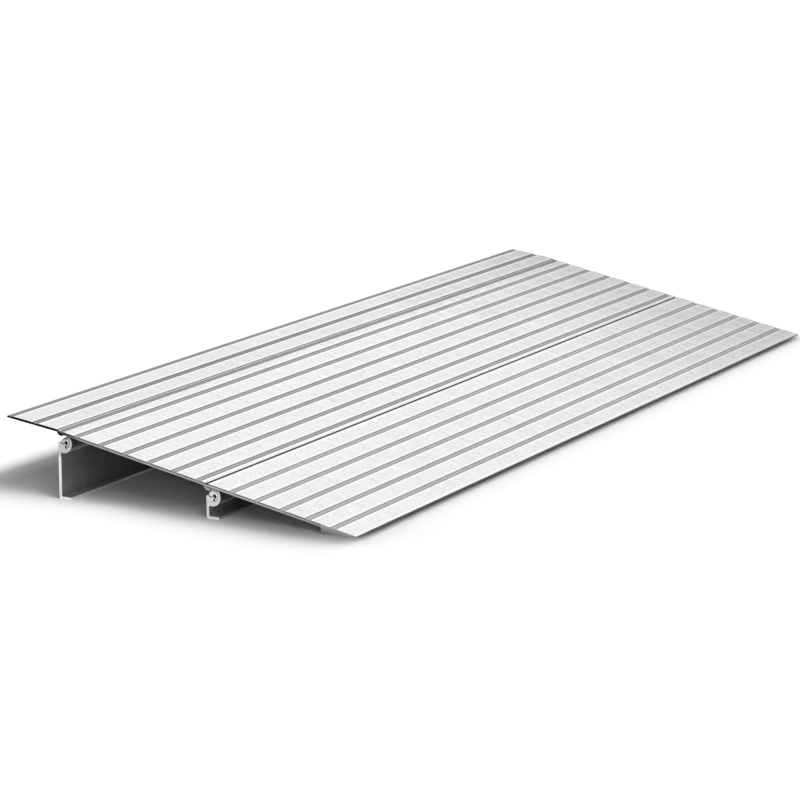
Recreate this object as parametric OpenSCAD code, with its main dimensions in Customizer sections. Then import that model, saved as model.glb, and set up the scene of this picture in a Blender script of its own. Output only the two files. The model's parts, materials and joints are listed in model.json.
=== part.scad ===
// Modular threshold ramp: five aluminium extrusions that hook into one another.
// X runs across the ramp, Y runs up the slope and Z is up. The floor is Z = 0.
// Every profile is drawn as a side view (Y to the right, Z up) and extruded across the ramp.

/* [Ramp] */
// Width of the ramp across the doorway
ramp_w = 914; // [600:1:1200]
// Slope of the two panels, in degrees
slope = 11.4; // [10:0.1:13]
// Walking surface from the toe tip to the panel joint
lower_len = 132.2; // [125:0.1:150]
// Walking surface from the panel joint to the top joint
upper_len = 139; // [125:0.1:160]

/* [Panel section] */
// Thickness of the panels under the grooves
web_t = 2; // [1.6:0.1:2.1]
// Height of the raised lands above the groove floors
land_h = 0.5; // [0.3:0.05:0.6]
// Width of a groove at the walking surface
groove_w = 5.8; // [4:0.1:7]
// How far each groove wall leans out from floor to top
groove_lean = 0.2; // [0.1:0.05:0.5]
// Spacing of the grooves on both panels
groove_pitch = 22.8; // [18:0.1:26]
// From the panel joint back to the nearest groove of the lower panel
lower_groove_back = 20.2; // [14:0.1:26]
// Narrowest land that the toe may end with
toe_land = 12; // [8:0.5:16]
// From the panel joint up to the first groove of the upper panel
upper_groove_start = 10.5; // [9:0.1:16]
// Land that the upper panel keeps between its last groove and the tongue
top_land = 7; // [5:0.5:10]

/* [Toe] */
// Height of the blunt toe tip
toe_tip_h = 1.45; // [1.2:0.05:2.2]
// Length of the toe's flat underside
toe_len = 30.9; // [24:0.1:36]
// Radius between the toe's back and the underside of the panel
toe_fillet_r = 2.5; // [1:0.1:3]

/* [Panel joint] */
// Radius of the lower panel's nose, centred on the walking surface
nose_r = 2.9; // [2.7:0.05:3.1]
// Radius on the top edge of the nose
nose_edge_r = 1.8; // [1.2:0.05:1.9]
// Thickness of the hook under the nose
hook_t = 2.2; // [1.9:0.05:2.3]
// How far round the nose the hook reaches, in degrees below level
hook_reach = 102; // [102:1:105]
// How far the upper panel can drop before the hook meets the neck, in degrees
drop_angle = 3; // [2:0.5:4]
// Running clearance in the panel joint and the top joint
joint_gap = 0.3; // [0.2:0.05:0.4]

/* [Transition plate] */
// Slope of the plate as it rests on its stop, in degrees
plate_slope = 8.2; // [6:0.1:10]
// From the top joint to the plate's upper edge
plate_len = 51.5; // [49:0.1:80]
// Thickness of the plate under its groove
plate_web_t = 1.35; // [1.1:0.05:1.6]
// Height of the plate's lands
plate_land_h = 0.4; // [0.3:0.05:0.6]
// Height of the plate's lands above the top joint
plate_lift = 0.5; // [0.3:0.05:0.7]
// From the top joint to the plate's first land
plate_land_start = 4.8; // [4.6:0.1:6]
// Width of each land on the plate
plate_land_w = 17.6; // [12:0.1:18]
// Width of the groove between the plate's lands
plate_groove_w = 6.1; // [4:0.1:7]
// Number of lands on the plate
plate_land_count = 2; // [1:1:2]
// Radius of the upper panel's tongue
tongue_r = 2.3; // [2.2:0.05:2.4]
// Width of the tongue's bare top in front of the joint
tongue_back = 2.5; // [2.4:0.1:4]
// Thickness of the plate's hook under the tongue
plate_hook_t = 1.2; // [1:0.05:1.4]
// How far round the tongue the plate's hook reaches, in degrees below level
plate_hook_reach = 114; // [110:1:118]

/* [Leg joint] */
// From a panel's upper joint back to the leg pivot, level
pivot_back = 1.75; // [1.5:0.05:1.9]
// From a panel's upper joint down to the leg pivot
pivot_drop = 7.9; // [7.8:0.05:8.4]
// Radius of the bulb that stands in the leg
bulb_r = 1.8; // [1.7:0.05:1.9]
// Thickness of the leg's finger beside the bulb
leg_finger_t = 1.6; // [1.5:0.05:1.7]
// Thickness of the panel's finger outside it
panel_finger_t = 1.3; // [1.2:0.05:1.4]
// Radius of the upper panel's pocket, which the plate's hook hangs in
pocket_r = 1.5; // [1.3:0.05:1.55]
// From the leg pivot back to the centre of the pocket's round end
pocket_in = 1.4; // [1:0.05:1.8]
// Running clearance between the bulb and the fingers
leg_gap = 0.7; // [0.6:0.05:0.75]
// Running clearance between the panel's finger and the ring
ring_gap = 0.4; // [0.35:0.05:0.5]
// Clearance at the stops of the leg and of the plate
stop_gap = 0.3; // [0.2:0.05:0.4]
// Outer radius of the leg's ring
ring_r = 7.7; // [7.5:0.05:8]
// From the leg pivot to the ring's centre, toward the toe
ring_back = 0.6; // [0.4:0.05:0.8]
// From the leg pivot down to the ring's centre
ring_drop = 1.85; // [1.6:0.05:2]
// Where the leg's finger ends, in degrees below level
leg_finger_end = 51; // [48:1:53]
// Where the slot above the leg's finger ends, in degrees below level
slot_end = 22; // [18:1:26]
// Where the panel's finger ends, in degrees below level
panel_finger_end = 47; // [44:1:50]
// Where the channel round the panel's finger ends, in degrees below level
channel_end = 55; // [53:1:58]

/* [Legs] */
// From the leg pivot to the outer face of the leg wall
wall_out = 4.35; // [4.1:0.05:4.6]
// Thickness of the leg wall
wall_t = 2.4; // [1.8:0.05:2.6]
// From the leg pivot down to the lip of the leg
lip_drop = 0.9; // [0.7:0.05:1.4]
// Radius on the lip's outer edge
lip_r = 1; // [0.5:0.05:1.2]
// Length of a foot
foot_len = 11.6; // [8:0.1:16]
// Thickness of a foot
foot_t = 2; // [1.6:0.05:2.4]
// Radius between a foot and its leg wall
foot_fillet_r = 1.2; // [0.6:0.1:2]

/* [Hidden] */
$fn = 64;

// Larger than any profile, for half planes and pie slices
big = 400;
// Overlap that buries the hidden edges of a cut or a fillet in its walls
bury = 0.2;
// How far a round end or a fillet runs past the wall that it blends into
cross = 0.05;
// Angle above level at which the ring of a hook has run into its own panel
hook_root = 30;
// Directions in the side view, in degrees
toe_ward = 180;
down = 270;
up_ramp = 360;

panel_t = web_t + land_h;
mid_web = land_h + web_t / 2;
plate_t = plate_web_t + plate_land_h;

// Joints in the side view, with Y = 0 at the toe tip
up_slope = [cos(slope), sin(slope)];
panel_joint = [0, toe_tip_h] + lower_len * up_slope;
top_joint = panel_joint + upper_len * up_slope;
pivot_offset = [-pivot_back, -pivot_drop];
lower_pivot = panel_joint + pivot_offset;
upper_pivot = top_joint + pivot_offset;
plate_drop = plate_t - plate_lift;
run = top_joint[0] + plate_len * cos(plate_slope) + plate_drop * sin(plate_slope);

// Hooks, and the face of the neck that they stop against
hook_in = nose_r + joint_gap;
hook_out = hook_in + hook_t;
neck_back = hook_out * sin(hook_reach - 90 + drop_angle) + stop_gap;
plate_hook_in = tongue_r + joint_gap;
plate_hook_out = plate_hook_in + plate_hook_t;
plate_step = plate_hook_reach + slope + atan(stop_gap / plate_hook_in);

// Radii of the leg joint, all about the leg pivot
leg_finger_in = bulb_r + leg_gap;
leg_finger_out = leg_finger_in + leg_finger_t;
panel_finger_in = leg_finger_out + leg_gap;
panel_finger_out = panel_finger_in + panel_finger_t;
ring_in = panel_finger_out + ring_gap;

// From the leg pivot to the underside of the panel, square to the panel
under_clear = pivot_drop * cos(slope) - pivot_back * sin(slope) - panel_t;

// Grooves that fit on each panel, and the pitch of the plate's lands
lower_grooves = floor((lower_len - lower_groove_back - toe_land) / groove_pitch);
upper_run = upper_len - tongue_back - top_land - groove_w / 2;
upper_grooves = floor((upper_run - upper_groove_start) / groove_pitch);
plate_pitch = plate_land_w + plate_groove_w;

// A profile extruded across the ramp, centred on the origin
module across() {
    translate([0, -run / 2, 0])
        rotate([90, 0, 90])
            linear_extrude(ramp_w, center = true)
                children();
}

// Half plane above a level line
module above(level) {
    translate([0, level])
        translate([-big, 0])
            square([2 * big, big]);
}

// Half plane below a level line
module below(level) {
    translate([0, level])
        translate([-big, -big])
            square([2 * big, big]);
}

// Half plane on the toe side of an upright line
module toe_side(place) {
    translate([place, 0])
        translate([-big, -big])
            square([big, 2 * big]);
}

// Pie slice between two angles less than 180 degrees apart
module slice(from, to) {
    polygon([
        [0, 0],
        big * [cos(from), sin(from)],
        big * [cos((from + to) / 2), sin((from + to) / 2)],
        big * [cos(to), sin(to)]
    ]);
}

// Part of a ring between two angles
module band(r_in, r_out, from, to) {
    intersection() {
        difference() {
            circle(r_out);
            circle(r_in);
        }
        slice(from, to);
    }
}

// Disc that rounds off a part of a ring at one angle
module band_end(r_in, r_out, at) {
    translate((r_in + r_out) / 2 * [cos(at), sin(at)])
        circle((r_out - r_in) / 2 + cross);
}

// Groove with leaning walls, open at the walking surface
module groove() {
    floor_half = groove_w / 2 - groove_lean;
    top_half = groove_w / 2;
    polygon([
        [-floor_half, -land_h],
        [floor_half, -land_h],
        [top_half, 0],
        [top_half, land_h],
        [-top_half, land_h],
        [-top_half, 0]
    ]);
}

// Hook that hangs from a panel's lower edge and reaches round a nose at the origin
module hook(r_in, r_out, tilt, reach, top) {
    difference() {
        band(r_in, r_out, -reach - tilt, hook_root);
        above(top);
    }
}

// Round nose about the origin, with its top edge rounded off
module nose() {
    edge_at = sqrt(pow(nose_r, 2) - pow(nose_edge_r, 2)) - nose_edge_r + cross;
    intersection() {
        circle(nose_r);
        union() {
            toe_side(edge_at);
            below(-nose_edge_r);
            translate([edge_at, -nose_edge_r])
                circle(nose_edge_r);
        }
    }
}

// Bulb and finger under a panel's upper edge, about the leg pivot
module claw() {
    tip = toe_ward + panel_finger_end;
    root = toe_ward + slot_end;
    difference() {
        intersection() {
            circle(panel_finger_out);
            toe_side(pivot_back - neck_back);
            rotate(slope)
                below(under_clear + web_t / 2);
        }
        slice(tip, up_ramp);
        band(bulb_r, panel_finger_in, root, down);
        band_end(bulb_r, panel_finger_in, root);
    }
    band_end(panel_finger_in, panel_finger_out, tip);
    circle(bulb_r);
}

// Round-ended pocket under the upper panel, about the leg pivot
module pocket() {
    rotate(slope) translate([-pocket_in, under_clear + bury - pocket_r]) {
        circle(pocket_r);
        translate([0, -pocket_r])
            square([big, 2 * pocket_r]);
    }
}

// Top of a leg, about the leg pivot
module knuckle() {
    tip = toe_ward + leg_finger_end;
    channel = toe_ward + channel_end;
    ring_at = [-ring_back, -ring_drop];
    difference() {
        translate(ring_at)
            circle(ring_r);
        circle(ring_in);
        rotate(slope)
            above(under_clear - stop_gap);
        mirror([1, 0])
            toe_side(-wall_out);
    }
    difference() {
        intersection() {
            translate(ring_at)
                circle(ring_r);
            slice(channel, up_ramp);
            lip();
        }
        circle(leg_finger_in);
        band_end(leg_finger_out, ring_in, channel);
    }
    band(leg_finger_in, leg_finger_out, tip, down);
    band_end(leg_finger_in, leg_finger_out, tip);
}

// Everything below the rounded lip and inside the leg's outer face
module lip() {
    corner = [wall_out - lip_r, -lip_drop - lip_r];
    translate(corner)
        circle(lip_r);
    translate([corner[0], -lip_drop])
        translate([-big, -big])
            square([big, big]);
    translate([wall_out, corner[1]])
        translate([-big, -big])
            square([big, big]);
}

// Wall and foot of a leg, about a leg pivot that stands this high
module stand(height) {
    inner = wall_out - wall_t;
    foot_top = foot_t - height;
    foot_tip = wall_out - foot_len + foot_t / 2;
    translate([inner, -height])
        square([wall_t, height - lip_drop - lip_r]);
    translate([foot_tip, -height])
        square([wall_out - foot_tip, foot_t]);
    translate([foot_tip, foot_t / 2 - height])
        circle(foot_t / 2);
    difference() {
        translate([inner - foot_fillet_r, foot_top - bury])
            square([foot_fillet_r + bury, foot_fillet_r + bury]);
        translate([inner - foot_fillet_r + cross, foot_top + foot_fillet_r - cross])
            circle(foot_fillet_r);
    }
}

// Solid wedge that lies on the floor under the lower panel's end
module toe() {
    under = toe_tip_h - panel_t / cos(slope) + toe_len * tan(slope);
    fillet_y = toe_len + toe_fillet_r;
    fillet_z = under + (toe_fillet_r * sin(slope) - toe_fillet_r) / cos(slope) + cross;
    difference() {
        intersection() {
            square([fillet_y - toe_fillet_r * sin(slope), big]);
            translate([0, toe_tip_h])
                rotate(slope)
                    below(-mid_web);
        }
        translate([toe_len, 0])
            square([toe_fillet_r, fillet_z]);
        translate([fillet_y, fillet_z])
            circle(toe_fillet_r);
    }
}

// Lower panel, with the toe at one end and the nose and claw at the other
module lower_panel() {
    color("gainsboro") across() intersection() {
        square([2 * big, big]);
        union() {
            toe();
            translate(lower_pivot)
                claw();
            translate(panel_joint) rotate(slope) difference() {
                union() {
                    translate([-big, -panel_t])
                        square([big, panel_t]);
                    nose();
                }
                above(0);
                for (i = [0:lower_grooves])
                    translate([-lower_groove_back - i * groove_pitch, 0])
                        groove();
            }
        }
    }
}

// What is cut from the upper panel's edge to leave its tongue, and the plate's stop
module tongue_cut() {
    translate([-tongue_back, -land_h])
        square([2 * tongue_back, panel_t]);
    band(tongue_r, plate_hook_out + joint_gap, -plate_step, 0);
}

// Upper panel, with the hook at its lower edge and the tongue and claw at the other
module upper_panel() {
    hook_mid = (hook_in + hook_out) / 2;
    color("silver") across() {
        translate(upper_pivot) difference() {
            claw();
            pocket();
        }
        translate(panel_joint) rotate(slope) {
            hook(hook_in, hook_out, slope, hook_reach, 0);
            difference() {
                translate([hook_mid, -panel_t])
                    square([upper_len - hook_mid, panel_t]);
                translate([upper_len, 0])
                    tongue_cut();
                for (i = [0:upper_grooves])
                    translate([upper_groove_start + i * groove_pitch, 0])
                        groove();
            }
            translate([upper_len, 0]) difference() {
                circle(tongue_r);
                above(-land_h);
            }
        }
    }
}

// Thin plate that bridges from the upper panel onto the threshold
module transition_plate() {
    hook_mid = (plate_hook_in + plate_hook_out) / 2;
    color("lightgrey") across() translate(top_joint) rotate(plate_slope) {
        hook(plate_hook_in, plate_hook_out, plate_slope, plate_hook_reach, plate_web_t - plate_drop);
        translate([hook_mid, -plate_drop])
            square([plate_len - hook_mid, plate_web_t]);
        for (i = [0:plate_land_count - 1])
            translate([plate_land_start + i * plate_pitch, -plate_drop])
                square([plate_land_w, plate_t]);
    }
}

// Short leg under the panel joint
module lower_leg() {
    color("whitesmoke") across() translate(lower_pivot) {
        knuckle();
        stand(lower_pivot[1]);
    }
}

// Tall leg under the top joint
module upper_leg() {
    color("whitesmoke") across() translate(upper_pivot) {
        knuckle();
        stand(upper_pivot[1]);
    }
}

lower_panel();
upper_panel();
transition_plate();
lower_leg();
upper_leg();
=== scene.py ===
"""Looks of a modular threshold ramp: five hooked aluminium extrusions on a white studio floor."""
import json
import math

import bpy
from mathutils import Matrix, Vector

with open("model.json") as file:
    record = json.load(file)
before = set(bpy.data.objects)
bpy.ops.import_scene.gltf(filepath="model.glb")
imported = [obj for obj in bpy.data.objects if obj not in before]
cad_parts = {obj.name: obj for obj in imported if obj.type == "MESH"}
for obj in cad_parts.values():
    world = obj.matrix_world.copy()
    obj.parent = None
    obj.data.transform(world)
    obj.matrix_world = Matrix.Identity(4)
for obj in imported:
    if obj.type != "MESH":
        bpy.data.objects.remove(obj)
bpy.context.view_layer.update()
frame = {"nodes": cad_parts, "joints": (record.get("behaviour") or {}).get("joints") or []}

MM = 0.001
ACROSS = Vector((1, 0, 0))

# Sizes of the extrusions, as the solids have them
RAMP_W = 914.0 * MM
PANEL_SLOPE = math.radians(11.4)
PLATE_SLOPE = math.radians(8.2)
SLAB_T = 2.5 * MM
LAND_H = 0.5 * MM
GROOVE_W = 5.8 * MM
GROOVE_PITCH = 22.8 * MM
LOWER_GROOVE = -20.2 * MM
UPPER_GROOVE = 10.5 * MM
NOSE_START = 0.5 * MM
HOOK_EDGE = 3.2 * MM
TOE_TIP = -132.2 * MM
TOE_LEN = 30.9 * MM
UPPER_LEN = 139.0 * MM
PLATE_LIFT = 0.5 * MM
PLATE_LAND_H = 0.4 * MM
PLATE_LAND_W = 17.6 * MM
PLATE_LAND_START = 4.8 * MM
PLATE_GROOVE_W = 6.1 * MM
BULB_REACH = 6.0 * MM
RING_IN = 6.6 * MM
FOOT_T = 2.0 * MM
FOOT_TIP = 7.25 * MM

# Edges as an extrusion die leaves them
EDGE_R = 0.12 * MM
EDGE_SEGMENTS = 2
SHARP_ANGLE = math.radians(32)
WELD_GAP = 0.002 * MM

# Camera, as fitted to the photograph's straight edges
CAMERA_TARGET = Vector((0.0017, 0.0483, -0.0005))
CAMERA_DISTANCE = 2.9577
CAMERA_YAW = math.radians(28.01)
CAMERA_PITCH = math.radians(12.086)
CAMERA_LENS = 147.015
CAMERA_SENSOR = 36.0
CAMERA_REACH = 100.0

# Studio light: a long softbox that leans to the toe side, and a weak fill.
# Each part of the softbox has its angle to the side, its lean and its share of the light on the floor.
SOFTBOX = [
    (-48, 39, 0.046), (-32, 39, 0.066), (-16, 39, 0.170), (0, 39, 0.180),
    (16, 39, 0.170), (32, 39, 0.066), (48, 39, 0.046), (0, 22, 0.085)]
# Low lights from the near end, by direction and strength: one lights the feet's pale edges into a
# highlight line, and one reaches in under the panels
LOW_LIGHTS = {
    "kicker": (Vector((-0.8, -0.6, 0.03)), 0.55),
    "near_fill": (Vector((-0.9, -0.3, 0.28)), 0.15)}
LAMP_SPREAD = math.radians(16)
LAMP_AWAY = 2.0
FILL_STRENGTH = 0.18
# Cards that keep light off the floor along the toe and the near end, each with its height and corners
TOE_CARD = (0.021, [(-0.459, -0.1815), (0.446, -0.1815), (0.446, -0.140), (-0.459, -0.140)])
END_CARD = (0.045, [(-0.460, 0.014), (-0.470, -0.061), (-0.480, -0.146), (-0.474, -0.196),
                    (-0.400, -0.196), (-0.400, 0.014)])
# Grey card beyond the far end, for the metal to mirror
FLAG_AT = 0.62
FLAG_SPAN = (-1.2, 1.8)
FLAG_H = 0.2
FLAG_TONE = 0.58
FLOOR_SIZE = 40.0
FLOOR_TONE = 0.8
FLOOR_WHITE = 1.02

# Tones of bare aluminium, with its painted highlights and painted shade, from bright to dull and dark
LAND_EDGE_HIGHLIGHT_TONE = 1.0
RECESS_HIGHLIGHT_TONE = 0.95
LAND_TONE = 0.88
PLATE_LAND_TONE = 0.825
MILL_TONE = 0.66
LOWER_GROOVE_TONE = 0.54
UPPER_GROOVE_TONE = 0.46
TOE_EDGE_SHADE_TONE = 0.35
PLATE_GROOVE_TONE = 0.33
UNDERSIDE_SHADE_TONE = 0.3
RECESS_SHADE_TONE = 0.27
JOINT_SHADE_TONE = 0.09
BLACK_SHADE_TONE = 0.03

# Tones of the sawn ends, which are painted light and painted shade: a slab's edges and the line
# between them, a claw's root and tip, and the toe wedge's bottom and top
LOWER_SLAB_TONES = (0.15, 0.5)
UPPER_SLAB_TONES = (0.09, 0.42)
TOP_SLAB_TONES = (0.03, 0.14)
LOWER_CLAW_TONES = (0.2, 0.76)
UPPER_CLAW_TONES = (0.16, 0.52)
WEDGE_TONES = (0.26, 0.5)
# Painted light and shade on more sawn ends: the tongue's and the plate's ends black, the hook's end, and
# the legs' walls, lighter feet and darker rings
TONGUE_TONE = 0.05
HOOK_TONE = 0.36
PLATE_END_SHADE_TONE = 0.0
WALL_END_TONE = 0.84
FOOT_END_TONE = 0.96
LOWER_RING_TONE = 0.72
UPPER_RING_TONE = 0.56
# Tones of the feet's pale non-metal edges, which the kicker lamp lights into a highlight line; the lower
# one is darker so that its line is dimmer
LOWER_LIT_EDGE_TONE = 0.35
UPPER_LIT_EDGE_TONE = 0.8

# Depths below the lands' tops where the tones change, as shares of a land's height
LAND_FROM = 0.5
SKIN_FROM = 1.9
LAND_SOFT = 0.3
# Painted highlights along the lands' edges, wider at the far end, and the share of such an edge that is
# wholly bright
LAND_EDGE_W = 2.8 * MM
FAR_LAND_EDGE_W = 4.6 * MM
LAND_EDGE_CORE = 0.4
# Shares of a groove's tone that its corners have as painted shade and its far end has as painted light,
# and the lighter strip in it
GROOVE_EDGE_SHARE = 0.69
FAR_GROOVE_EDGE_SHARE = 0.58
FAR_GROOVE_SHARE = 1.24
GROOVE_LIGHT_AT = 0.5 * MM
GROOVE_LIGHT_W = 1.8 * MM
GROOVE_LIGHT_SOFT = 0.5 * MM
# Spans along X over which the near end's marks turn into the far end's
FAR_SPAN = (-0.35, 0.35)
FAR_GROOVE_SPAN = (-0.2, 0.42)

# How far the other tones reach, and how softly they end
PIVOT_SOFT = 0.1 * MM
KNUCKLE_R = 13.0 * MM
RING_SHADE_R = 9.0 * MM
TONGUE_R = 4.2 * MM
HOOK_R = 9.0 * MM
HOOK_FROM = 0.9 * SLAB_T
HOOK_SOFT = 0.2 * SLAB_T
SLAB_LINE_AT = -0.65 * SLAB_T
SLAB_LINE_W = 0.48 * SLAB_T
SLAB_LINE_SOFT = 0.06 * SLAB_T
UNDER_SLAB_SOFT = 0.05 * SLAB_T
CLAW_FADE = 4.0 * MM
WEDGE_FADE = (-7.0 * MM, -1.0 * MM)
WEDGE_SOFT = 0.5 * MM
TOP_FADE = (-26.0 * MM, -6.0 * MM)
TOE_EDGE_W = 0.375 * MM
TOE_EDGE_SOFT = 0.225 * MM
JOINT_SOFT = 0.15 * MM
NOSE_DARK_FROM = 0.035 * MM
NOSE_DARK_SOFT = 0.025 * MM
HOOK_DARK_FROM = 0.15 * MM
HOOK_DARK_SOFT = 0.1 * MM
HOOK_DARK_END = 0.25 * MM
RECESS_MARGIN = 0.2 * MM
RECESS_SOFT = 0.1 * MM
RECESS_HIGHLIGHT_AT = 2.4 * MM
RECESS_HIGHLIGHT_W = 1.3 * MM
RECESS_HIGHLIGHT_SOFT = 0.2 * MM
RIM_W = 0.8 * MM
RIM_SOFT = 0.2 * MM
FOOT_SOFT = 0.25 * MM
LIT_EDGE_W = 0.45 * MM
LIT_EDGE_SOFT = 0.15 * MM

# Roughness, and the fine relief that the brushing and the saw leave
LAND_ROUGHNESS = 0.42
GROOVE_ROUGHNESS = 0.5
END_ROUGHNESS = 0.55
ROUGHNESS_AMOUNT = 0.12
BUMP_STRENGTH = 0.25
BUMP_DEPTH = 0.02 * MM
# How squarely a face looks along X where its finish turns from brushed to sawn
SAWN_FACING = (0.25, 0.5)

# Noises: features to the metre along X, Y and Z, and how much each changes the tone
BRUSH_SCALE = (4, 2600, 2600)
GRAIN_SCALE = (330, 420, 420)
CROSS_SCALE = (260, 25, 25)
BLOTCH_SCALE = (7, 18, 18)
SPECKLE_SCALE = (900, 900, 900)
BRUSH_AMOUNT = 0.05
GRAIN_AMOUNT = 0.2
FAR_GRAIN_AMOUNT = 0.27
CROSS_AMOUNT = 0.11
FAR_CROSS_AMOUNT = 0.25
BLOTCH_AMOUNT = 0.03
SPECKLE_AMOUNT = 0.35
PLAIN_DETAIL = 2.0
FINE_DETAIL = 3.0


class Nodes:
    """A node tree under construction, with short names for the nodes that it uses."""

    def __init__(self, tree):
        self.tree = tree

    def node(self, kind, **settings):
        made = self.tree.nodes.new("ShaderNode" + kind)
        for key, value in settings.items():
            setattr(made, key, value)
        return made

    def feed(self, socket, value):
        if isinstance(value, bpy.types.NodeSocket):
            self.tree.links.new(value, socket)
        else:
            socket.default_value = value

    def math(self, operation, *values):
        made = self.node("Math", operation=operation)
        for socket, value in zip(made.inputs, values):
            self.feed(socket, value)
        return made.outputs[0]

    def step(self, value, low, high, bottom=0.0, top=1.0):
        """A smooth step from bottom to top as the value goes from low to high."""
        made = self.node("MapRange", interpolation_type="SMOOTHSTEP")
        for socket, number in zip(made.inputs, (value, low, high, bottom, top)):
            self.feed(socket, number)
        return made.outputs["Result"]

    def above(self, value, edge, soft):
        """One above the edge and nought below it, with a smooth step from soft below to soft above."""
        return self.step(value, edge - soft, edge + soft)

    def below(self, value, edge, soft):
        """One below the edge and nought above it, with a smooth step from soft below to soft above."""
        return self.step(value, edge - soft, edge + soft, 1.0, 0.0)

    def band(self, value, middle, width, soft):
        """One within half the width of the middle, and nought outside."""
        away = self.math("ABSOLUTE", self.math("SUBTRACT", value, middle))
        return self.below(away, width / 2, soft)

    def both(self, first, second):
        """One where both are one."""
        return self.math("MULTIPLY", first, second)

    def blend(self, factor, first, second):
        """A number that goes from first to second as the factor goes from nought to one."""
        made = self.node("Mix", data_type="FLOAT")
        # The node's second input is the factor for vectors
        for number, value in ((0, factor), (2, first), (3, second)):
            self.feed(made.inputs[number], value)
        return made.outputs[0]

    def seen(self):
        """One for what is seen, also mirrored in metal, and nought for light that falls on things."""
        path = self.node("LightPath")
        seen = self.math("MAXIMUM", path.outputs["Is Camera Ray"], path.outputs["Is Glossy Ray"])
        seen = self.math("MAXIMUM", seen, path.outputs["Is Transmission Ray"])
        return self.math("SUBTRACT", seen, path.outputs["Diffuse Depth"])


class Paint(Nodes):
    """A material under construction."""

    def __init__(self, name):
        self.material = bpy.data.materials.new(name)
        self.material.use_nodes = True
        super().__init__(self.material.node_tree)
        self.shader = self.tree.nodes["Principled BSDF"]

    def place(self):
        """The point's own coordinates on the piece, in metres."""
        return self.node("TexCoord").outputs["Object"]

    def dot(self, vector, direction):
        made = self.node("VectorMath", operation="DOT_PRODUCT")
        self.feed(made.inputs[0], vector)
        self.feed(made.inputs[1], direction)
        return made.outputs["Value"]

    def across(self):
        """How far the point lies along X from the ramp's middle."""
        return self.dot(self.place(), ACROSS)

    def stretched_noise(self, scales, detail=PLAIN_DETAIL):
        """Noise with its own number of features to the metre along each axis."""
        mapping = self.node("Mapping")
        mapping.inputs["Scale"].default_value = scales
        self.feed(mapping.inputs["Vector"], self.place())
        noise = self.node("TexNoise")
        noise.inputs["Scale"].default_value = 1.0
        noise.inputs["Detail"].default_value = detail
        self.feed(noise.inputs["Vector"], mapping.outputs["Vector"])
        return noise.outputs["Fac"]

    def vary(self, tone, noise, amount):
        """The tone, lighter or darker by up to about the amount."""
        swing = self.math("MULTIPLY_ADD", noise, 2.0, -1.0)
        return self.math("MULTIPLY", tone, self.math("MULTIPLY_ADD", swing, amount, 1.0))

    def towards_far_end(self, near, far, span=FAR_SPAN):
        """A number that goes from near to far in a smooth step over a span along X."""
        start, end = span
        return self.step(self.across(), start, end, near, far)

    def grey(self, tone):
        made = self.node("CombineColor")
        for socket in made.inputs:
            self.feed(socket, tone)
        return made.outputs[0]


class Ribs:
    """Where a ribbed walking surface has its lands and grooves, up its slope from a joint."""

    def __init__(self, origin, slope, groove, groove_w, pitch, land_h):
        self.origin = origin
        self.up_slope = Vector((0, math.cos(slope), math.sin(slope)))
        self.square_off = Vector((0, -math.sin(slope), math.cos(slope)))
        self.groove = groove
        self.groove_w = groove_w
        self.pitch = pitch
        self.land_h = land_h

    def along(self, paint, start):
        """How far a point lies up the slope from the start."""
        place = paint.dot(paint.place(), self.up_slope)
        return paint.math("SUBTRACT", place, self.origin.dot(self.up_slope) + start)

    def height(self, paint):
        """How far a point lies above the lands."""
        place = paint.dot(paint.place(), self.square_off)
        return paint.math("SUBTRACT", place, self.origin.dot(self.square_off))


def ribbed_tone(paint, ribs, land_tone, groove_tone):
    """Brushed lands with painted highlights on their edges, duller grooves with painted shade in their
    corners and painted light towards the far end, and painted shade below.

    Also gives where the lands are.
    """
    offset = paint.math("WRAP", ribs.along(paint, ribs.groove), ribs.pitch / 2, -ribs.pitch / 2)
    from_groove = paint.math("ABSOLUTE", offset)
    from_edge = paint.math("SUBTRACT", from_groove, ribs.groove_w / 2)
    height = ribs.height(paint)
    soft = LAND_SOFT * ribs.land_h
    land = paint.above(height, -LAND_FROM * ribs.land_h, soft)
    skin = paint.above(height, -SKIN_FROM * ribs.land_h, soft)
    # Painted highlights on the lands' edges, wider towards the far end
    edge_w = paint.towards_far_end(LAND_EDGE_W, FAR_LAND_EDGE_W)
    core_w = paint.math("MULTIPLY", edge_w, LAND_EDGE_CORE)
    top = paint.step(from_edge, core_w, edge_w, LAND_EDGE_HIGHLIGHT_TONE, land_tone)
    # Painted shade in the grooves' corners beside a lighter strip, and painted light on the grooves
    # towards the far end
    middle = paint.band(offset, GROOVE_LIGHT_AT, GROOVE_LIGHT_W, GROOVE_LIGHT_SOFT)
    far_lit_groove_tone = paint.towards_far_end(groove_tone, FAR_GROOVE_SHARE * groove_tone, FAR_GROOVE_SPAN)
    edge_share = paint.towards_far_end(GROOVE_EDGE_SHARE, FAR_GROOVE_EDGE_SHARE)
    floor = paint.math("MULTIPLY", far_lit_groove_tone, paint.blend(middle, edge_share, 1.0))
    tone = paint.blend(land, floor, top)
    # Painted shade on the undersides, below the ribbed top
    return paint.blend(skin, UNDERSIDE_SHADE_TONE, tone), land


def paint_black_shade(paint, tone, inside):
    """The tone, painted black as shade where the mask is one: in gaps between parts and along edges."""
    return paint.blend(inside, tone, BLACK_SHADE_TONE)


def near_pivot(paint, pivot, radius):
    """One inside a radius of an axis along X, and nought outside."""
    made = paint.node("VectorMath", operation="MULTIPLY_ADD")
    paint.feed(made.inputs[0], paint.place())
    made.inputs[1].default_value = (0, 1, 1)
    made.inputs[2].default_value = (0, -pivot.y, -pivot.z)
    length = paint.node("VectorMath", operation="LENGTH")
    paint.feed(length.inputs[0], made.outputs[0])
    return paint.below(length.outputs["Value"], radius + PIVOT_SOFT, PIVOT_SOFT)


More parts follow.
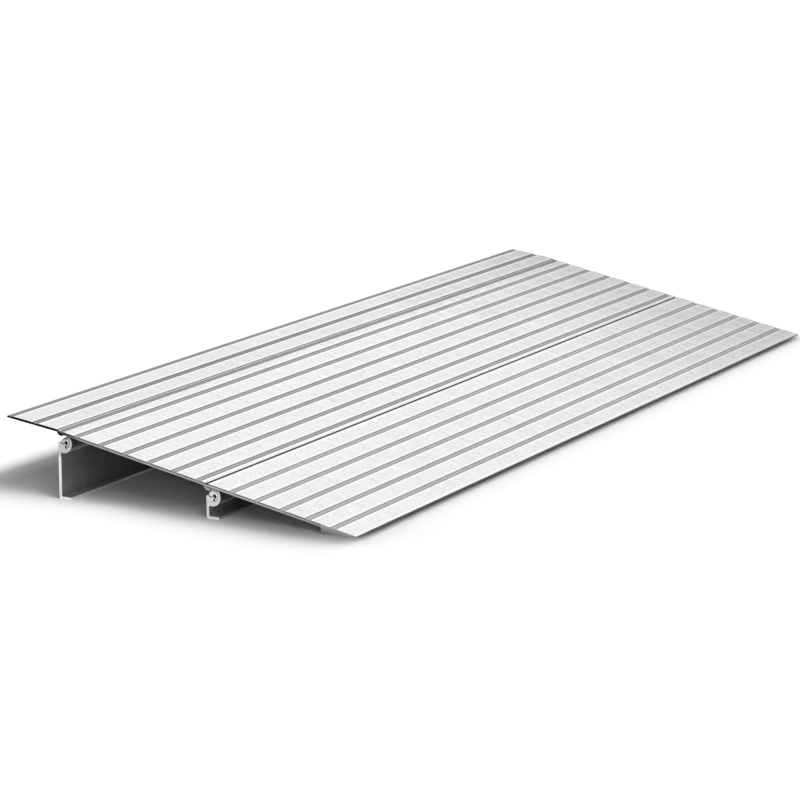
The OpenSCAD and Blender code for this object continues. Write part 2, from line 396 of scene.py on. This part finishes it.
def finish_aluminium(paint, tone, land, end_tone):
    """Extruded aluminium: brushed along its length, with sawn ends."""
    brush = paint.stretched_noise(BRUSH_SCALE)
    grain = paint.stretched_noise(GRAIN_SCALE, FINE_DETAIL)
    cross = paint.stretched_noise(CROSS_SCALE)
    blotch = paint.stretched_noise(BLOTCH_SCALE)
    speckle = paint.stretched_noise(SPECKLE_SCALE, FINE_DETAIL)
    tone = paint.vary(tone, brush, BRUSH_AMOUNT)
    tone = paint.vary(tone, grain, paint.towards_far_end(GRAIN_AMOUNT, FAR_GRAIN_AMOUNT))
    tone = paint.vary(tone, cross, paint.towards_far_end(CROSS_AMOUNT, FAR_CROSS_AMOUNT))
    tone = paint.vary(tone, blotch, BLOTCH_AMOUNT)
    normal = paint.node("NewGeometry").outputs["Normal"]
    facing = paint.math("ABSOLUTE", paint.dot(normal, ACROSS))
    sawn = paint.step(facing, *SAWN_FACING)
    sawn_tone = paint.vary(end_tone, speckle, SPECKLE_AMOUNT)
    tone = paint.blend(sawn, tone, sawn_tone)
    paint.feed(paint.shader.inputs["Base Color"], paint.grey(tone))
    paint.shader.inputs["Metallic"].default_value = 1.0
    rough = paint.blend(land, GROOVE_ROUGHNESS, LAND_ROUGHNESS)
    rough = paint.vary(rough, brush, ROUGHNESS_AMOUNT)
    rough = paint.blend(sawn, rough, END_ROUGHNESS)
    paint.feed(paint.shader.inputs["Roughness"], rough)
    bump = paint.node("Bump")
    bump.inputs["Strength"].default_value = BUMP_STRENGTH
    bump.inputs["Distance"].default_value = BUMP_DEPTH
    paint.feed(bump.inputs["Height"], paint.blend(sawn, brush, speckle))
    paint.feed(paint.shader.inputs["Normal"], bump.outputs["Normal"])
    return paint.material


def slab_end(paint, ribs, edge_tone, line_tone):
    """Tone of a panel's sawn end: painted shade on its edges and a painted lighter line between them."""
    line = paint.band(ribs.height(paint), SLAB_LINE_AT, SLAB_LINE_W, SLAB_LINE_SOFT)
    return paint.blend(line, edge_tone, line_tone)


def with_claw(paint, ribs, pivot, tone, claw_tones):
    """The end's tone with that of the claw, painted darker as shade under the slab and lighter away from
    it.
    """
    root_tone, tip_tone = claw_tones
    height = ribs.height(paint)
    claw = paint.step(height, -SLAB_T - CLAW_FADE, -SLAB_T, tip_tone, root_tone)
    under_slab = paint.below(height, -SLAB_T - UNDER_SLAB_SOFT, UNDER_SLAB_SOFT)
    inside = paint.both(under_slab, near_pivot(paint, pivot, KNUCKLE_R))
    return paint.blend(inside, tone, claw)


def lower_panel_aluminium(ribs, pivot):
    paint = Paint("lower_panel_aluminium")
    tone, land = ribbed_tone(paint, ribs, LAND_TONE, LOWER_GROOVE_TONE)
    height = ribs.height(paint)
    # Painted shade in the joint's gap, on the nose below the lands' tops
    sunk = paint.below(height, -NOSE_DARK_FROM, NOSE_DARK_SOFT)
    beside_joint = paint.above(ribs.along(paint, NOSE_START), -JOINT_SOFT, JOINT_SOFT)
    tone = paint.blend(paint.both(sunk, beside_joint), tone, JOINT_SHADE_TONE)
    # Black painted shade in the knuckle's gap, around the bulb
    tone = paint_black_shade(paint, tone, near_pivot(paint, pivot, BULB_REACH))
    from_tip = ribs.along(paint, TOE_TIP)
    # Painted shade along the toe's tip edge
    toe_edge = paint.below(from_tip, TOE_EDGE_W, TOE_EDGE_SOFT)
    tone = paint.blend(toe_edge, tone, TOE_EDGE_SHADE_TONE)
    # Painted light and shade on the sawn end: the slab, the wedge darker at its bottom, and the claw
    end_tone = slab_end(paint, ribs, *LOWER_SLAB_TONES)
    wedge = paint.below(from_tip, TOE_LEN + WEDGE_SOFT, WEDGE_SOFT)
    wedge_tone = paint.step(height, *WEDGE_FADE, *WEDGE_TONES)
    end_tone = paint.blend(wedge, end_tone, wedge_tone)
    end_tone = with_claw(paint, ribs, pivot, end_tone, LOWER_CLAW_TONES)
    return finish_aluminium(paint, tone, land, end_tone)


def upper_panel_aluminium(ribs, pivot, top):
    paint = Paint("upper_panel_aluminium")
    tone, land = ribbed_tone(paint, ribs, LAND_TONE, UPPER_GROOVE_TONE)
    height = ribs.height(paint)
    # Painted shade in the joint's gap, on the hook below the lands' tops
    sunk = paint.below(height, -HOOK_DARK_FROM, HOOK_DARK_SOFT)
    beside_joint = paint.below(ribs.along(paint, HOOK_EDGE), -HOOK_DARK_END, JOINT_SOFT)
    tone = paint.blend(paint.both(sunk, beside_joint), tone, JOINT_SHADE_TONE)
    # Black painted shade in the knuckle's gap, around the bulb
    tone = paint_black_shade(paint, tone, near_pivot(paint, pivot, BULB_REACH))
    # Painted light and shade on the sawn end: darker towards the top joint, at the claw, black at the
    # tongue, and the hook's own tone
    near_top = paint.step(ribs.along(paint, UPPER_LEN), *TOP_FADE)
    slab_tones = [paint.blend(near_top, *tones) for tones in zip(UPPER_SLAB_TONES, TOP_SLAB_TONES)]
    end_tone = slab_end(paint, ribs, *slab_tones)
    end_tone = with_claw(paint, ribs, pivot, end_tone, UPPER_CLAW_TONES)
    end_tone = paint.blend(near_pivot(paint, top, TONGUE_R), end_tone, TONGUE_TONE)
    hook = paint.both(paint.below(height, -HOOK_FROM, HOOK_SOFT), near_pivot(paint, ribs.origin, HOOK_R))
    end_tone = paint.blend(hook, end_tone, HOOK_TONE)
    return finish_aluminium(paint, tone, land, end_tone)


def plate_aluminium(ribs):
    """The plate's finish, with painted shade in the recess beside the joint and a painted highlight
    strip in it, and black painted shade on its ends and along their rims.
    """
    paint = Paint("plate_aluminium")
    tone, land = ribbed_tone(paint, ribs, PLATE_LAND_TONE, PLATE_GROOVE_TONE)
    from_joint = ribs.along(paint, 0)
    # Painted shade in the recess beside the joint, and a painted highlight strip in it
    recess = paint.below(from_joint, PLATE_LAND_START - RECESS_MARGIN, RECESS_SOFT)
    tone = paint.blend(recess, tone, RECESS_SHADE_TONE)
    tone = paint.blend(paint.band(from_joint, RECESS_HIGHLIGHT_AT, RECESS_HIGHLIGHT_W, RECESS_HIGHLIGHT_SOFT), tone, RECESS_HIGHLIGHT_TONE)
    # Black painted shade along the rims of the ends, and on the ends themselves
    from_middle = paint.math("ABSOLUTE", paint.across())
    tone = paint_black_shade(paint, tone, paint.above(from_middle, RAMP_W / 2 - RIM_W, RIM_SOFT))
    return finish_aluminium(paint, tone, land, PLATE_END_SHADE_TONE)


def leg_aluminium(name, pivot, ring_tone, lit_edge_tone):
    """A leg's finish: painted shade around its ring and black inside it, a dull pale edge at its foot's
    tip that a low lamp lights into a highlight line, and painted light and shade on its sawn ends.
    """
    paint = Paint(name)
    # Painted shade around the ring, and black painted shade inside it
    tone = paint.blend(near_pivot(paint, pivot, RING_SHADE_R), MILL_TONE, UNDERSIDE_SHADE_TONE)
    tone = paint_black_shade(paint, tone, near_pivot(paint, pivot, RING_IN))
    split = paint.node("SeparateXYZ")
    paint.feed(split.inputs[0], paint.place())
    foot = paint.below(split.outputs["Z"], FOOT_T + FOOT_SOFT, FOOT_SOFT)
    # The foot's tip edge: pale and non-metal, for the kicker lamp to light into a highlight line
    tip = paint.below(split.outputs["Y"], pivot.y - FOOT_TIP + LIT_EDGE_W, LIT_EDGE_SOFT)
    lit_edge = paint.both(foot, tip)
    # Painted light and shade on the sawn ends: darker at the ring, lighter at the foot
    end_tone = paint.blend(near_pivot(paint, pivot, KNUCKLE_R), WALL_END_TONE, ring_tone)
    end_tone = paint.blend(foot, end_tone, FOOT_END_TONE)
    material = finish_aluminium(paint, paint.blend(lit_edge, tone, lit_edge_tone), 0.0, end_tone)
    paint.feed(paint.shader.inputs["Metallic"], paint.math("SUBTRACT", 1.0, lit_edge))
    return material


def dress(node, material):
    """Rounds a node's edges as a die does, and gives it its finish."""
    piece = frame["nodes"][node]
    weld = piece.modifiers.new("weld", "WELD")
    weld.merge_threshold = WELD_GAP
    bevel = piece.modifiers.new("edges", "BEVEL")
    bevel.width = EDGE_R
    bevel.segments = EDGE_SEGMENTS
    bevel.limit_method = "ANGLE"
    bevel.angle_limit = SHARP_ANGLE
    normals = piece.modifiers.new("normals", "WEIGHTED_NORMAL")
    normals.keep_sharp = False
    piece.data.materials.clear()
    piece.data.materials.append(material)


def joint_place(name):
    found = [joint for joint in frame["joints"] if joint["name"] == name]
    return Vector(found[0]["pos_m"])


def make_camera():
    camera = bpy.data.cameras.new("camera")
    camera.sensor_fit = "HORIZONTAL"
    camera.sensor_width = CAMERA_SENSOR
    camera.lens = CAMERA_LENS
    camera.clip_end = CAMERA_REACH
    seat = bpy.data.objects.new("camera", camera)
    forward = Vector((
        math.cos(CAMERA_PITCH) * math.cos(CAMERA_YAW),
        math.cos(CAMERA_PITCH) * math.sin(CAMERA_YAW),
        -math.sin(CAMERA_PITCH)))
    seat.location = CAMERA_TARGET - CAMERA_DISTANCE * forward
    seat.rotation_euler = forward.to_track_quat("-Z", "Y").to_euler()
    bpy.context.scene.collection.objects.link(seat)
    bpy.context.scene.camera = seat


def make_sheet(name, corners, paint):
    """A flat piece of the studio, with one face."""
    mesh = bpy.data.meshes.new(name)
    mesh.from_pydata(corners, [], [range(len(corners))])
    mesh.materials.append(paint.material)
    sheet = bpy.data.objects.new(name, mesh)
    bpy.context.scene.collection.objects.link(sheet)
    return sheet


def make_floor():
    """Pale floor that looks white where the light reaches it and keeps the ramp's shadow."""
    paint = Paint("floor_white")
    diffuse = paint.node("BsdfDiffuse")
    tone = paint.blend(paint.seen(), FLOOR_TONE, FLOOR_WHITE)
    paint.feed(diffuse.inputs["Color"], paint.grey(tone))
    output = paint.tree.nodes["Material Output"]
    paint.feed(output.inputs["Surface"], diffuse.outputs[0])
    paint.tree.nodes.remove(paint.shader)
    half = FLOOR_SIZE / 2
    corners = [(-half, -half, 0), (half, -half, 0), (half, half, 0), (-half, half, 0)]
    floor = make_sheet("floor", corners, paint)


def matt_black(name):
    """Paint that throws no light back."""
    paint = Paint(name)
    paint.shader.inputs["Base Color"].default_value = (0, 0, 0, 1)
    paint.shader.inputs["Specular IOR Level"].default_value = 0.0
    return paint


def make_flag():
    """Grey card beyond the far end, which only the metal's reflections show."""
    paint = matt_black("flag_grey")
    paint.shader.inputs["Emission Color"].default_value = (1, 1, 1, 1)
    paint.shader.inputs["Emission Strength"].default_value = FLAG_TONE
    near, far = FLAG_SPAN
    corners = [(FLAG_AT, near, 0), (FLAG_AT, far, 0), (FLAG_AT, far, FLAG_H), (FLAG_AT, near, FLAG_H)]
    flag = make_sheet("flag", corners, paint)
    flag.visible_camera = False
    flag.visible_diffuse = False
    flag.visible_shadow = False
    flag.visible_transmission = False


def make_card(name, height, corners):
    """Black card that the camera and the metal don't see, and that only keeps light off the floor."""
    card = make_sheet(name, [(x, y, height) for x, y in corners], matt_black(name + "_black"))
    card.visible_camera = False
    card.visible_glossy = False
    card.visible_transmission = False


def make_lamp(name, toward, strength):
    """A soft lamp far away in the direction given, which the metal doesn't mirror."""
    sun = bpy.data.lights.new(name, "SUN")
    sun.energy = strength
    sun.angle = LAMP_SPREAD
    lamp = bpy.data.objects.new(name, sun)
    lamp.rotation_euler = toward.to_track_quat("Z", "Y").to_euler()
    lamp.location = LAMP_AWAY * toward
    lamp.visible_glossy = False
    bpy.context.scene.collection.objects.link(lamp)


def make_softbox(name, side, lean, share):
    """A part of the softbox, with its angles and its share of the light on the floor."""
    toward = Vector((math.tan(math.radians(side)), -math.tan(math.radians(lean)), 1)).normalized()
    make_lamp(name, toward, share * math.pi / toward.z)


def make_world():
    """White for what the camera sees, and a weak fill for the shadows."""
    world = bpy.data.worlds.new("studio")
    world.use_nodes = True
    backdrop = world.node_tree.nodes["Background"]
    backdrop.inputs["Color"].default_value = (1, 1, 1, 1)
    nodes = Nodes(world.node_tree)
    nodes.feed(backdrop.inputs["Strength"], nodes.blend(nodes.seen(), FILL_STRENGTH, 1.0))
    bpy.context.scene.world = world


bpy.context.scene.view_settings.view_transform = "Standard"
make_camera()
make_floor()
make_flag()
make_card("toe_card", *TOE_CARD)
make_card("end_card", *END_CARD)
for number, part in enumerate(SOFTBOX):
    make_softbox("softbox_%d" % number, *part)
for name, (toward, strength) in LOW_LIGHTS.items():
    make_lamp(name, toward, strength)
make_world()

panel_joint = joint_place("panel_hinge")
top_joint = joint_place("transition_plate_hinge")
lower_pivot = joint_place("lower_leg_swing")
upper_pivot = joint_place("upper_leg_swing")
plate_top = Vector((0, -math.sin(PLATE_SLOPE), math.cos(PLATE_SLOPE))) * PLATE_LIFT

lower_ribs = Ribs(panel_joint, PANEL_SLOPE, LOWER_GROOVE, GROOVE_W, GROOVE_PITCH, LAND_H)
upper_ribs = Ribs(panel_joint, PANEL_SLOPE, UPPER_GROOVE, GROOVE_W, GROOVE_PITCH, LAND_H)
plate_ribs = Ribs(top_joint + plate_top, PLATE_SLOPE, PLATE_LAND_START - PLATE_GROOVE_W / 2,
                  PLATE_GROOVE_W, PLATE_LAND_W + PLATE_GROOVE_W, PLATE_LAND_H)
dress("lower_panel", lower_panel_aluminium(lower_ribs, lower_pivot))
dress("upper_panel", upper_panel_aluminium(upper_ribs, upper_pivot, top_joint))
dress("transition_plate", plate_aluminium(plate_ribs))
dress("lower_leg", leg_aluminium("lower_leg_aluminium", lower_pivot, LOWER_RING_TONE, LOWER_LIT_EDGE_TONE))
dress("upper_leg", leg_aluminium("upper_leg_aluminium", upper_pivot, UPPER_RING_TONE, UPPER_LIT_EDGE_TONE))
